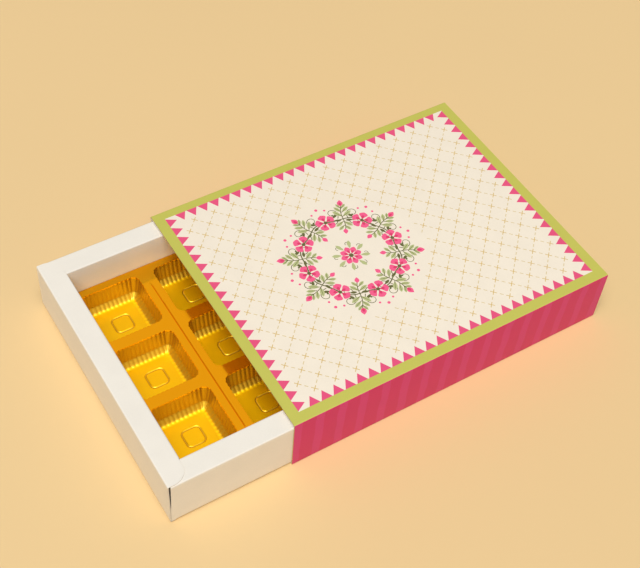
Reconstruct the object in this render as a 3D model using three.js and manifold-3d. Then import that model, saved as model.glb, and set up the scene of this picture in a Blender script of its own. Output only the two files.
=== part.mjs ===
// A drawer box for chocolates: a printed board sleeve, a white board tray with hollow walls that
// slides in it, and a thermoformed gold insert with rows of square cavities that lies in the tray.
// Both boards are folded blanks, and each panel between two creases is a piece of its own.
// Millimetres, +Z up. The origin is the middle of the sleeve's underside, and the tray slides
// out of the sleeve towards -X. "Near" is the -Y side and "far" the +Y side.

import * as THREE from 'three';
import { mergeVertices } from 'three/addons/utils/BufferGeometryUtils.js';
import Module from 'manifold-3d';

// Sleeve
const SLEEVE_LENGTH = 178;
const SLEEVE_WIDTH = 140;
const SLEEVE_HEIGHT = 32.5;
const SLEEVE_BOARD = 0.5;
const GLUE_FLAP_WIDTH = 15;

// How the tray sits in the sleeve
const TRAY_PULLED_OUT = 61;
const TRAY_END_INSET = 1;
const TRAY_SIDE_CLEARANCE = 0.3;
const TRAY_FLOOR_CLEARANCE = 0.1;
const TRAY_TOP_CLEARANCE = 2;

// Tray
const TRAY_BOARD = 0.5;
const RIM_WIDTH = 11;
const RIM_CORNER_RADIUS = 8;
const FOOT_FLAP_WIDTH = 8;

// Cavity insert
const SHEET = 0.4;
const ROWS = 4;
const COLUMNS = 3;
const ROW_WEB = 7.9;
const COLUMN_WEB = 6.1;
const END_FLANGE = 1.7;
const SIDE_FLANGE = 4.4;
const INSERT_CLEARANCE = 0.4;
const INSERT_BACK_SLACK = 2.5;
const INSERT_NEAR_SLACK = 2;
const CUP_DEPTH = 11.5;
const CUP_CORNER_RADIUS = 4.5;
const CUP_WALL_LEAN = 1.8;
const CUP_FLOOR_FILLET = 2.6;
const FOOT_WIDTH = 8.6;
const FOOT_CORNER_RADIUS = 2;
const FOOT_DEPTH = 0.5;

// The scored line between two panels, left open so that no two panels overlap
const CREASE_GAP = 0.1;

// Faceting of the round corners and of the fillet round a cavity's floor
const CORNER_STEPS = 3;
const FILLET_STEPS = 2;

// Sleeve, worked out
const sleeveFront = -SLEEVE_LENGTH / 2;
const sleeveBack = SLEEVE_LENGTH / 2;
const sleeveSide = SLEEVE_WIDTH / 2;
const sleeveFloor = SLEEVE_BOARD;
const sleeveCeiling = SLEEVE_HEIGHT - SLEEVE_BOARD;
const glueFlapBottom = sleeveFloor + CREASE_GAP;
const glueFlapTop = glueFlapBottom + SLEEVE_BOARD;

// Tray, worked out: x from its front face, z from its underside
const trayUnderside = glueFlapTop + TRAY_FLOOR_CLEARANCE;
const trayLength = SLEEVE_LENGTH - 2 * TRAY_END_INSET;
const traySide = sleeveSide - SLEEVE_BOARD - TRAY_SIDE_CLEARANCE;
const trayHeight = sleeveCeiling - TRAY_TOP_CLEARANCE - trayUnderside;
const baseTop = TRAY_BOARD;
const endRimBottom = trayHeight - TRAY_BOARD;
const sideRimTop = endRimBottom - CREASE_GAP;
const sideRimBottom = sideRimTop - TRAY_BOARD;
const insideFront = RIM_WIDTH;
const insideBack = trayLength - RIM_WIDTH;
const insideSide = traySide - RIM_WIDTH;

// Insert, worked out: x from the tray's front face, z from the tray's underside. It lies loose, pushed
// up to the front and far walls.
const insertFront = insideFront + INSERT_CLEARANCE;
const insertBack = insideBack - INSERT_BACK_SLACK;
const insertFar = insideSide - INSERT_CLEARANCE;
const insertNear = INSERT_NEAR_SLACK - insideSide;
const insertWidth = insertFar - insertNear;
const insertMiddle = (insertFar + insertNear) / 2;
const footUnderside = baseTop + CREASE_GAP;
const cupFloor = footUnderside + SHEET + FOOT_DEPTH;
const webTop = cupFloor + CUP_DEPTH;
const cupLength = (insertBack - insertFront - 2 * END_FLANGE - (ROWS - 1) * ROW_WEB) / ROWS;
const cupWidth = (insertWidth - 2 * SIDE_FLANGE - (COLUMNS - 1) * COLUMN_WEB) / COLUMNS;

// Materials
const printedBoard = new THREE.MeshStandardMaterial({ color: '#f3e9da', roughness: 0.55, metalness: 0 });
const printedSide = new THREE.MeshStandardMaterial({ color: '#cb3f58', roughness: 0.55, metalness: 0 });
const whiteBoard = new THREE.MeshStandardMaterial({ color: '#f4efe6', roughness: 0.6, metalness: 0 });
const goldSheet = new THREE.MeshStandardMaterial({ color: '#e8a90f', roughness: 0.18, metalness: 1 });

const wasm = await Module();
wasm.setup();

// A flat panel of board between two corners, given as [low, high] along each axis
function panel(name, material, x, y, z) {
  const geometry = new THREE.BoxGeometry(x[1] - x[0], y[1] - y[0], z[1] - z[0]);
  const mesh = new THREE.Mesh(geometry, material);
  mesh.name = name;
  mesh.position.set((x[0] + x[1]) / 2, (y[0] + y[1]) / 2, (z[0] + z[1]) / 2);
  return mesh;
}

// The two sides of the box: the name of each, and its place along Y
const sides = [
  { side: 'near', sign: -1 },
  { side: 'far', sign: 1 },
];

// [low, high] of the span between two distances from the middle, on one side of it
function span(sign, inner, outer) {
  return sign > 0 ? [inner, outer] : [-outer, -inner];
}

// The sleeve: four panels round the tray and the flap that closes them, glued to the bottom panel
function makeSleeve() {
  const sleeve = new THREE.Group();
  const length = [sleeveFront, sleeveBack];
  const width = [-sleeveSide, sleeveSide];
  const upright = [sleeveFloor + CREASE_GAP, sleeveCeiling - CREASE_GAP];
  sleeve.add(panel('sleeve_bottom_panel', printedSide, length, width, [0, sleeveFloor]));
  sleeve.add(panel('sleeve_top_panel', printedBoard, length, width, [sleeveCeiling, SLEEVE_HEIGHT]));
  for (const { side, sign } of sides) {
    const across = span(sign, sleeveSide - SLEEVE_BOARD, sleeveSide);
    sleeve.add(panel(`sleeve_${side}_panel`, printedSide, length, across, upright));
  }
  const flapOuter = sleeveSide - SLEEVE_BOARD - CREASE_GAP;
  const flapAcross = [flapOuter - GLUE_FLAP_WIDTH, flapOuter];
  sleeve.add(panel('sleeve_glue_flap', whiteBoard, length, flapAcross, [glueFlapBottom, glueFlapTop]));
  return sleeve;
}

// A rim panel across one end of the tray, with its two inner corners rounded
function endRim(name, outerX, inwards) {
  const radius = Math.min(RIM_CORNER_RADIUS, RIM_WIDTH - TRAY_BOARD);
  const arcX = outerX + inwards * (RIM_WIDTH - radius);
  const arcY = traySide - radius;
  const quarter = Math.PI / 2;
  const clockwise = inwards < 0;
  const outline = new THREE.Shape();
  outline.moveTo(outerX, -traySide);
  outline.lineTo(arcX, -traySide);
  outline.absarc(arcX, -arcY, radius, -quarter, clockwise ? -2 * quarter : 0, clockwise);
  outline.absarc(arcX, arcY, radius, clockwise ? 2 * quarter : 0, quarter, clockwise);
  outline.lineTo(outerX, traySide);
  outline.closePath();
  const geometry = new THREE.ExtrudeGeometry(outline, {
    depth: TRAY_BOARD,
    bevelEnabled: false,
    curveSegments: CORNER_STEPS,
  });
  const mesh = new THREE.Mesh(geometry, whiteBoard);
  mesh.name = name;
  mesh.position.z = endRimBottom;
  return mesh;
}

// One end of the tray: outer wall, rim, inner wall, foot flap and the tabs of the side walls
function makeTrayEnd(end, outerX, inwards) {
  const along = (from, to) => {
    const ends = [outerX + inwards * from, outerX + inwards * to];
    return ends.sort((a, b) => a - b);
  };
  const wallBottom = baseTop + CREASE_GAP;
  const wallTop = endRimBottom - CREASE_GAP;
  const insideWidth = [-insideSide + CREASE_GAP, insideSide - CREASE_GAP];
  const group = new THREE.Group();
  group.add(panel(`tray_${end}_wall`, whiteBoard, along(0, TRAY_BOARD), [-traySide, traySide],
    [wallBottom, wallTop]));
  group.add(endRim(`tray_${end}_rim`, outerX, inwards));
  group.add(panel(`tray_${end}_inner_wall`, whiteBoard, along(RIM_WIDTH - TRAY_BOARD, RIM_WIDTH),
    insideWidth, [wallBottom, wallTop]));
  group.add(panel(`tray_${end}_foot_flap`, whiteBoard,
    along(RIM_WIDTH + CREASE_GAP, RIM_WIDTH + FOOT_FLAP_WIDTH), insideWidth,
    [wallBottom, wallBottom + TRAY_BOARD]));
  const tabAlong = along(TRAY_BOARD + CREASE_GAP, 2 * TRAY_BOARD + CREASE_GAP);
  for (const { side, sign } of sides) {
    const hollow = span(sign, insideSide + TRAY_BOARD + CREASE_GAP, traySide - TRAY_BOARD - CREASE_GAP);
    group.add(panel(`tray_${end}_${side}_tab`, whiteBoard, tabAlong, hollow,
      [wallBottom, sideRimBottom - CREASE_GAP]));
  }
  return group;
}

// One long side of the tray: outer wall, rim, inner wall and foot flap
function makeTraySide(side, sign) {
  const wallBottom = baseTop + CREASE_GAP;
  const wallTop = sideRimBottom - CREASE_GAP;
  const betweenWalls = [TRAY_BOARD + CREASE_GAP, trayLength - TRAY_BOARD - CREASE_GAP];
  const betweenFlaps = [
    insideFront + FOOT_FLAP_WIDTH + CREASE_GAP,
    insideBack - FOOT_FLAP_WIDTH - CREASE_GAP,
  ];
  const group = new THREE.Group();
  group.add(panel(`tray_${side}_wall`, whiteBoard, betweenWalls,
    span(sign, traySide - TRAY_BOARD, traySide), [wallBottom, wallTop]));
  group.add(panel(`tray_${side}_rim`, whiteBoard, betweenWalls, span(sign, insideSide, traySide),
    [sideRimBottom, sideRimTop]));
  group.add(panel(`tray_${side}_inner_wall`, whiteBoard,
    [insideFront - TRAY_BOARD, insideBack + TRAY_BOARD],
    span(sign, insideSide, insideSide + TRAY_BOARD), [wallBottom, wallTop]));
  group.add(panel(`tray_${side}_foot_flap`, whiteBoard, betweenFlaps,
    span(sign, insideSide - FOOT_FLAP_WIDTH, insideSide - CREASE_GAP),
    [wallBottom, wallBottom + TRAY_BOARD]));
  return group;
}

// A rectangle with rounded corners, as a ring of points at one height
function roundedRing(length, width, radius, z) {
  const ring = [];
  const corners = [[1, 1, 0], [-1, 1, 1], [-1, -1, 2], [1, -1, 3]];
  for (const [signX, signY, quarter] of corners) {
    for (let step = 0; step <= CORNER_STEPS; step += 1) {
      const turn = (quarter + step / CORNER_STEPS) * Math.PI / 2;
      const x = signX * (length / 2 - radius) + radius * Math.cos(turn);
      const y = signY * (width / 2 - radius) + radius * Math.sin(turn);
      ring.push(new THREE.Vector3(x, y, z));
    }
  }
  return ring;
}

// A closed solid through a stack of rings, from the lowest to the highest
function loft(rings) {
  const count = rings[0].length;
  const positions = rings.flat().flatMap((point) => [point.x, point.y, point.z]);
  const index = [];
  for (let level = 0; level + 1 < rings.length; level += 1) {
    for (let i = 0; i < count; i += 1) {
      const a = level * count + i;
      const b = level * count + (i + 1) % count;
      index.push(a, b, b + count, a, b + count, a + count);
    }
  }
  const top = (rings.length - 1) * count;
  for (let i = 1; i + 1 < count; i += 1) {
    index.push(0, i + 1, i);
    index.push(top, top + i, top + i + 1);
  }
  const geometry = new THREE.BufferGeometry();
  geometry.setAttribute('position', new THREE.Float32BufferAttribute(positions, 3));
  geometry.setIndex(index);
  return geometry;
}

// A geometry as a solid that can be joined and cut
function solid(geometry) {
  const bare = geometry.clone();
  bare.deleteAttribute('normal');
  bare.deleteAttribute('uv');
  const merged = mergeVertices(bare);
  return new wasm.Manifold(new wasm.Mesh({
    numProp: 3,
    vertProperties: new Float32Array(merged.attributes.position.array),
    triVerts: new Uint32Array(merged.index.array),
  }));
}

// A cavity's form, grown on all sides by the sheet's thickness for its outside. Its walls lean in,
// turn into the floor through a fillet, and the floor has a square foot pressed down in its middle.
function cupRings(grow, top) {
  const rings = [];
  const ring = (inset, z) => {
    const radius = Math.max(CUP_CORNER_RADIUS - inset / 2, CUP_CORNER_RADIUS / 2) + grow;
    rings.push(roundedRing(cupLength - 2 * inset + 2 * grow, cupWidth - 2 * inset + 2 * grow, radius, z));
  };
  for (let step = 0; step <= FILLET_STEPS; step += 1) {
    const turn = (1 - step / FILLET_STEPS) * Math.PI / 2;
    const inset = CUP_WALL_LEAN + CUP_FLOOR_FILLET * (1 - Math.cos(turn));
    ring(inset, cupFloor - grow + CUP_FLOOR_FILLET * (1 - Math.sin(turn)));
  }
  ring(0, webTop);
  if (top > webTop) {
    ring(0, top);
  }
  return rings;
}

function footRings(grow, bottom, top) {
  const width = FOOT_WIDTH + 2 * grow;
  return [
    roundedRing(width, width, FOOT_CORNER_RADIUS + grow, bottom),
    roundedRing(width, width, FOOT_CORNER_RADIUS + grow, top),
  ];
}

// The insert: a flat sheet with the cavities formed down out of it
function makeInsert() {
  const overshoot = SHEET;
  const middleX = (insertFront + insertBack) / 2;
  const plate = new THREE.BoxGeometry(insertBack - insertFront, insertWidth, SHEET);
  plate.translate(middleX, insertMiddle, webTop - SHEET / 2);
  const cupOutside = solid(loft(cupRings(SHEET, webTop)))
    .add(solid(loft(footRings(SHEET, footUnderside, cupFloor))));
  const cupInside = solid(loft(cupRings(0, webTop + overshoot)))
    .add(solid(loft(footRings(0, footUnderside + SHEET, cupFloor + overshoot))));
  let formed = solid(plate);
  const hollows = [];
  for (let row = 0; row < ROWS; row += 1) {
    for (let column = 0; column < COLUMNS; column += 1) {
      const x = insertFront + END_FLANGE + cupLength / 2 + row * (cupLength + ROW_WEB);
      const y = insertMiddle + (column - (COLUMNS - 1) / 2) * (cupWidth + COLUMN_WEB);
      formed = formed.add(cupOutside.translate([x, y, 0]));
      hollows.push(cupInside.translate([x, y, 0]));
    }
  }
  for (const hollow of hollows) {
    formed = formed.subtract(hollow);
  }
  const { vertProperties, triVerts } = formed.getMesh();
  const geometry = new THREE.BufferGeometry();
  geometry.setAttribute('position', new THREE.Float32BufferAttribute(vertProperties, 3));
  geometry.setIndex(new THREE.Uint32BufferAttribute(triVerts, 1));
  geometry.computeVertexNormals();
  const mesh = new THREE.Mesh(geometry, goldSheet);
  mesh.name = 'cavity_insert';
  return mesh;
}

// The tray with its insert, in the tray's own place
function makeTray() {
  const tray = new THREE.Group();
  tray.add(panel('tray_base', whiteBoard, [0, trayLength], [-traySide, traySide], [0, baseTop]));
  tray.add(makeTrayEnd('front', 0, 1));
  tray.add(makeTrayEnd('back', trayLength, -1));
  for (const { side, sign } of sides) {
    tray.add(makeTraySide(side, sign));
  }
  tray.add(makeInsert());
  tray.position.set(sleeveFront - TRAY_PULLED_OUT, 0, trayUnderside);
  return tray;
}

const box = new THREE.Group();
box.add(makeSleeve());
box.add(makeTray());

export default box;
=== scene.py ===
"""Dresses a drawer box for chocolates: a printed sleeve, a folded white tray and a gold cavity insert.

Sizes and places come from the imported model's nodes. Lengths are in metres.
"""

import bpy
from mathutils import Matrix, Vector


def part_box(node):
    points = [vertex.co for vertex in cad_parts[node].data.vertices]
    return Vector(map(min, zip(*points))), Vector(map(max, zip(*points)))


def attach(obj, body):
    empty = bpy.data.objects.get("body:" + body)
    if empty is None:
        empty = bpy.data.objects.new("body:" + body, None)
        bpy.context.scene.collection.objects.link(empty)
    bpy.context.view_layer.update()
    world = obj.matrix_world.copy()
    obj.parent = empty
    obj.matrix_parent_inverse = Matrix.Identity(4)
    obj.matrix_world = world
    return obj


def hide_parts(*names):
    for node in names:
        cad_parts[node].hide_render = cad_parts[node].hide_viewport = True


bl_info = {
    "name": "Chocolate Drawer Box",
    "version": (1, 0, 0),
    "blender": (4, 5, 0),
    "location": "View3D > Sidebar > Drawer Box",
    "description": "Makes a drawer box with a printed sleeve, a folded tray and a gold cavity insert",
    "category": "Add Mesh",
}

import math

import bmesh
import bpy
from bpy.props import FloatProperty, FloatVectorProperty, IntProperty, PointerProperty
from mathutils import Matrix, Vector

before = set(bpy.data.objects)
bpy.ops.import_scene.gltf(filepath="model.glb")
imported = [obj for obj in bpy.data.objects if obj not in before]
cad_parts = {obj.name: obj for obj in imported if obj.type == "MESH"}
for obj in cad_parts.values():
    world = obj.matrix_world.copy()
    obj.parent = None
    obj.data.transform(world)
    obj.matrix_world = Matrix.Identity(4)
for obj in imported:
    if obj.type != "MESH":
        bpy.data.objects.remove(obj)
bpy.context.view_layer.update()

MM = 0.001

# Outer faces of the sleeve and the tray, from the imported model
SLEEVE_LOW = Vector((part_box("sleeve_top_panel")[0].x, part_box("sleeve_near_panel")[0].y, 0.0))
SLEEVE_HIGH = Vector(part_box("sleeve_top_panel")[1])
SLEEVE_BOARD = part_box("sleeve_bottom_panel")[1].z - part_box("sleeve_bottom_panel")[0].z
TRAY_LOW = Vector(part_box("tray_base")[0])
TRAY_HIGH = Vector(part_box("tray_base")[1])
TRAY_BOARD = TRAY_HIGH.z - TRAY_LOW.z
END_RIM_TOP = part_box("tray_front_rim")[1].z
RIM_STEP = 0.45 * MM
SIDE_RIM_TOP = END_RIM_TOP - RIM_STEP
RIM_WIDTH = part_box("tray_front_rim")[1].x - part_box("tray_front_rim")[0].x
FOOT_FLAP_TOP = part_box("tray_front_foot_flap")[1].z
INSERT_LOW, INSERT_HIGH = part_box("cavity_insert")


def srgb(red, green, blue):
    """A colour written as 0 to 255 on screen, as the linear RGBA that Blender stores."""
    def channel(value):
        value /= 255.0
        return value / 12.92 if value <= 0.04045 else ((value + 0.055) / 1.055) ** 2.4
    return (channel(red), channel(green), channel(blue), 1.0)


def length(name, description, default):
    return FloatProperty(name=name, description=description, default=default, unit="LENGTH", precision=5)


def lengths(name, description, *default):
    return FloatVectorProperty(
        name=name, description=description, default=default, size=len(default), unit="LENGTH", precision=5
    )


def number(name, description, default):
    return IntProperty(name=name, description=description, default=default)


def rotation(name, description, degrees):
    return FloatProperty(name=name, description=description, default=math.radians(degrees), unit="ROTATION")


def colour(name, description, *screen):
    return FloatVectorProperty(
        name=name, description=description, default=srgb(*screen), size=4, subtype="COLOR", min=0.0, max=1.0
    )


class SleeveSettings(bpy.types.PropertyGroup):
    """The sleeve's folds and the plain colours of its print."""

    crease_radius: length("Crease radius", "Outer rounding of the sleeve's folded edges", 0.8 * MM)
    ground: colour("Ground", "Cream field of the top print", 252, 241, 222)
    border: colour("Border", "Green band round the top", 201, 200, 92)
    side: colour("Side", "Crimson of the sides and the bottom", 218, 29, 110)
    stripe: colour("Stripe", "Paler stripes on the sides", 222, 47, 128)
    inside: colour("Inside", "Unprinted board inside the sleeve", 252, 240, 220)
    # The cut edge's tan is partly the ink's stain and partly painted shade along the sleeve's edge
    cut_edge: colour("Cut edge", "Bare edge of the sleeve's board, stained by the ink", 204, 182, 112)
    field_centre: lengths(
        "Field centre", "Middle of the cream field; print sits a little off the folds", -0.05 * MM, 0.3 * MM
    )
    field_half: lengths(
        "Field half size", "Half the length and width of the cream field", 83.65 * MM, 64.7 * MM
    )
    stripe_pitch: length("Stripe pitch", "Distance from one side stripe to the next", 11.6 * MM)
    stripe_width: length("Stripe width", "Width of a pale side stripe", 4.4 * MM)
    stripe_start: length("Stripe start", "Middle of the stripe nearest the tray's end", -88.2 * MM)


class TopPrintSettings(bpy.types.PropertyGroup):
    """Sawtooth edging, dashed lattice and wreath on the sleeve's top."""

    tooth_height: length("Tooth height", "How far an edging triangle reaches into the field", 5.0 * MM)
    tooth_fill: FloatProperty(
        name="Tooth fill", description="Share of its pitch that a triangle's base takes up",
        default=0.9, min=0.1, max=1.0, subtype="FACTOR",
    )
    end_teeth: number("End teeth", "Triangles along each short edge", 20)
    side_teeth: number("Side teeth", "Triangles along each long edge", 25)
    side_teeth_start: length("Side teeth start", "Plain length before a long edge's triangles", 5.3 * MM)
    lattice_step: lengths(
        "Lattice step", "Half a lattice diamond, along and across the top", 5.46 * MM, 5.744 * MM
    )
    lattice_columns: number("Lattice columns", "Columns of crossings along the top", 29)
    lattice_rows: number("Lattice rows", "Rows of crossings across the top", 21)
    cross_arm: length("Cross arm", "Length of each arm of a lattice cross", 1.7 * MM)
    dash: length("Dash", "Length of the dash between two crosses", 1.85 * MM)
    line: length("Line", "Width of the lattice lines", 0.42 * MM)
    wreath_centre: lengths("Wreath centre", "Middle of the wreath on the top", -15.0 * MM, 1.0 * MM)
    wreath_radius: length("Wreath radius", "Radius of the wreath's stem ring", 24.0 * MM)
    wreath_clearing: length("Wreath clearing", "Radius of the plain round left in the lattice", 37.5 * MM)
    tooth: colour("Tooth", "Pink of the edging triangles", 238, 84, 132)
    cross: colour("Cross", "Golden ink of the crosses", 224, 194, 128)
    link: colour("Link", "Greyer ink of the dashes", 228, 208, 160)
    blossom: colour("Blossom", "Pink of the blossoms", 253, 98, 148)
    blossom_heart: colour("Blossom heart", "Deeper pink inside the blossoms", 226, 62, 112)
    leaf: colour("Leaf", "Pale green of the leaves", 190, 198, 140)
    stem: colour("Stem", "Dark olive of the stems", 96, 100, 58)


class TraySettings(bpy.types.PropertyGroup):
    """The folded white tray."""

    crease_radius: length("Crease radius", "Outer rounding of the tray's folds", 0.65 * MM)
    rim_corner: length("Rim corner", "Rounding of the end rims where they lie on the side rims", 8.0 * MM)
    corner_wear: length("Corner wear", "How far the end rims stop short of the side walls", 0.4 * MM)
    corner_slit: length("Corner slit", "Width of the open slit at the corner nearest the viewer", 0.7 * MM)
    board: colour("Board", "White carton board", 247, 241, 229)
    cut_edge: colour("Cut edge", "Bare edge of the board", 226, 219, 206)


class InsertSettings(bpy.types.PropertyGroup):
    """The gold sheet with its fluted cavities."""

    rows: number("Rows", "Cavities along the tray", 4)
    columns: number("Columns", "Cavities across the tray", 3)
    end_flange: length("End flange", "Sheet in front of the first row and behind the last", 1.7 * MM)
    side_flange: length("Side flange", "Sheet beside the outer columns", 4.4 * MM)
    cavity: length("Cavity", "Opening of a cavity", 31.0 * MM)
    depth: length("Depth", "From the sheet's top to a cavity's floor", 11.5 * MM)
    corner: length("Corner", "Rounding of a cavity's upright corners", 3.8 * MM)
    lean: length("Lean", "How far a wall leans in on its way down", 1.6 * MM)
    slope: length("Slope", "Length of the sloping foot of a wall", 2.6 * MM)
    front_fillet: length("Front fillet", "Rounding at the foot of the wall on the front side", 1.8 * MM)
    edge: length("Edge", "Rounding where the sheet's outer edge turns down", 1.5 * MM)
    flute_depth: length("Flute depth", "How far a flute stands out from the wall", 0.3 * MM)
    flutes: number("Flutes", "Flutes round one cavity", 52)
    foot: length("Foot", "Width of the square foot pressed into a floor", 9.3 * MM)
    foot_depth: length("Foot depth", "How far the outline of the foot is pressed down", 0.4 * MM)
    sheet: length("Sheet", "Thickness of the formed sheet", 0.25 * MM)
    # Lit and shaded copies of one gold: the walls' darker gold is painted shade, also used in the foot's
    # pressed outline, and the floors' lighter gold is a painted highlight
    web_gold: colour("Web gold", "Gold of the flat, unstretched sheet", 244, 186, 8)
    wall_gold: colour("Wall gold", "Darker gold of the fluted walls", 212, 176, 50)
    floor_gold: colour("Floor gold", "Lighter gold of the cavity floors", 245, 206, 14)


class StageSettings(bpy.types.PropertyGroup):
    """Floor, lamp and camera."""

    floor: colour("Floor", "Pale floor", 241, 208, 152)
    camera_place: lengths("Camera place", "Where the camera stands", -249.53 * MM, -304.57 * MM, 478.72 * MM)
    camera_yaw: rotation("Camera yaw", "Heading from the X axis", 54.56)
    camera_pitch: rotation("Camera pitch", "Angle looked down", 50.71)
    camera_roll: rotation("Camera roll", "Turn about the view", 5.24)
    camera_lens: FloatProperty(name="Camera lens", description="Focal length in mm", default=68.06)
    key_power: FloatProperty(name="Key power", description="Watts of the wide lamp overhead", default=418.0)
    sky_strength: FloatProperty(name="Sky strength", description="Even light from all round", default=0.2)


# Node trees

class Tree:
    """Adds nodes to a tree. A value given to an input is a socket to link or a constant to set."""

    def __init__(self, tree):
        self.tree = tree

    def add(self, kind, inputs=None, **settings):
        node = self.tree.nodes.new(kind)
        for name, value in settings.items():
            setattr(node, name, value)
        for key, value in (inputs or {}).items():
            self.feed(node.inputs[key], value)
        return node

    def feed(self, socket, value):
        if isinstance(value, bpy.types.NodeSocket):
            self.tree.links.new(value, socket)
        else:
            socket.default_value = value

    def math(self, operation, *values):
        return self.add("ShaderNodeMath", dict(enumerate(values)), operation=operation).outputs[0]

    def mix(self, factor, first, second):
        return self.add("ShaderNodeMix", {0: factor, 6: first, 7: second}, data_type="RGBA").outputs[2]

    def ramp(self, value, low, high):
        """0 below low, 1 above high, smooth between."""
        inputs = {"Value": value, "From Min": low, "From Max": high}
        return self.add("ShaderNodeMapRange", inputs, interpolation_type="SMOOTHSTEP").outputs[0]

    def span(self, value, low, high):
        """From low to high as the value goes from 0 to 1."""
        return self.add("ShaderNodeMapRange", {"Value": value, "To Min": low, "To Max": high}).outputs[0]

    def noise(self, place, scale, detail):
        inputs = {"Vector": place, "Scale": scale, "Detail": detail}
        return self.add("ShaderNodeTexNoise", inputs).outputs[0]

    def blotches(self, place, scale, detail, half_span, shade):
        """Noise from 0 to the given shade, which levels off at the half span either side of its middle."""
        spots = self.ramp(self.noise(place, scale, detail), 0.5 - half_span, 0.5 + half_span)
        return self.math("MULTIPLY", spots, shade)

    def bump(self, shader, height, strength, distance):
        node = self.add("ShaderNodeBump", {"Height": height, "Strength": strength, "Distance": distance})
        self.feed(shader.inputs["Normal"], node.outputs[0])

    def axes(self, place):
        return self.add("ShaderNodeSeparateXYZ", {0: place}).outputs

    def vector(self, **axes):
        return self.add("ShaderNodeCombineXYZ", axes).outputs[0]

    def about_z(self, angle):
        return self.add("FunctionNodeEulerToRotation", {0: self.vector(Z=angle)}).outputs[0]

    def vector_math(self, operation, first, second):
        return self.add("ShaderNodeVectorMath", {0: first, 1: second}, operation=operation).outputs


def new_material(name, roughness=0.5):
    """A material with its tree, its shader and the piece's own coordinates."""
    material = bpy.data.materials.new(name)
    material.use_nodes = True
    tree = Tree(material.node_tree)
    shader = material.node_tree.nodes["Principled BSDF"]
    shader.inputs["Roughness"].default_value = roughness
    place = tree.add("ShaderNodeTexCoord").outputs["Object"]
    return material, tree, shader, place


BLACK = (0.0, 0.0, 0.0, 1.0)
PRINT_ROUGHNESS = 0.45

# Blotches in the board's colour: noise scale, detail, half span and shade
MOTTLE = (90.0, 4.0, 0.2, 0.025)
SPECKLE = (1500.0, 2.0, 0.15, 0.015)

# The board's fibres: noise scale and detail, and their height
FIBRES = (2600.0, 3.0)
FIBRE_HEIGHT = 0.05 * MM


def finish_board(tree, shader, place, paint, fibre=0.12):
    """Uneven ink and a fine fibre relief, as on coated carton board."""
    shade = tree.math("ADD", tree.blotches(place, *MOTTLE), tree.blotches(place, *SPECKLE))
    tree.feed(shader.inputs["Base Color"], tree.mix(shade, paint, BLACK))
    tree.bump(shader, tree.noise(place, *FIBRES), fibre, FIBRE_HEIGHT)


def board_material(name, paint, roughness=0.55, fibre=0.15):
    material, tree, shader, place = new_material(name, roughness)
    finish_board(tree, shader, place, tuple(paint), fibre)
    return material


def top_print_material(sleeve):
    """Cream field inside a green band."""
    material, tree, shader, place = new_material("top_print", PRINT_ROUGHNESS)
    axes = tree.axes(place)
    inside = 1.0
    for axis in range(2):
        offset = tree.math("ABSOLUTE", tree.math("SUBTRACT", axes[axis], sleeve.field_centre[axis]))
        inside = tree.math("MULTIPLY", inside, tree.math("LESS_THAN", offset, sleeve.field_half[axis]))
    finish_board(tree, shader, place, tree.mix(inside, tuple(sleeve.border), tuple(sleeve.ground)))
    return material


# The side stripes' wavering: noise scale and detail, and how far they sway, lean and fade at their edges
STRIPE_WAVER = (70.0, 1.0)
STRIPE_SWAY = 2.4 * MM
STRIPE_LEAN = -0.04
STRIPE_EDGE = 0.2 * MM


def side_print_material(sleeve):
    """Crimson with slightly wavering paler stripes that run round the sleeve."""
    material, tree, shader, place = new_material("side_print", PRINT_ROUGHNESS)
    axes = tree.axes(place)
    sway = tree.math("MULTIPLY", tree.math("SUBTRACT", tree.noise(place, *STRIPE_WAVER), 0.5), STRIPE_SWAY)
    lean = tree.math("MULTIPLY", axes["Z"], STRIPE_LEAN)
    along = tree.math("ADD", tree.math("ADD", axes["X"], sway), lean)
    turns = tree.math("DIVIDE", tree.math("SUBTRACT", along, sleeve.stripe_start), sleeve.stripe_pitch)
    from_middle = tree.math("ABSOLUTE", tree.math("SUBTRACT", turns, tree.math("ROUND", turns)))
    half = 0.5 * sleeve.stripe_width / sleeve.stripe_pitch
    soft = STRIPE_EDGE / sleeve.stripe_pitch
    plain = tree.ramp(from_middle, half - soft, half + soft)
    finish_board(tree, shader, place, tree.mix(plain, tuple(sleeve.stripe), tuple(sleeve.side)))
    return material


def ink_material(name, paint):
    return board_material(name, paint, roughness=0.42, fibre=0.08)


GOLD_COAT = 0.3
GOLD_COAT_ROUGHNESS = 0.2
FLOOR_METALLIC = 0.95

# Heights between which the gold changes: from a cavity's floor, and from the top of the sheet. Below the
# floor, in the foot's pressed outline, the walls' gold is painted shade.
FOOT_SHADE_FADE = (-0.3 * MM, -0.05 * MM)
WALL_FADE = (0.05 * MM, 0.8 * MM)
WEB_FADE = (-0.9 * MM, -0.2 * MM)

# Dull smears: noise scale and detail, roughness, and the share of it that the flat web has
SMEARS = (45.0, 3.0)
SMEAR_ROUGHNESS = (0.46, 0.56)
WEB_SHARE = 0.2

# Faint ripples: noise scale and detail, strength and height
RIPPLES = (160.0, 1.0)
RIPPLE_STRENGTH = 0.12
RIPPLE_HEIGHT = 0.2 * MM


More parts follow.
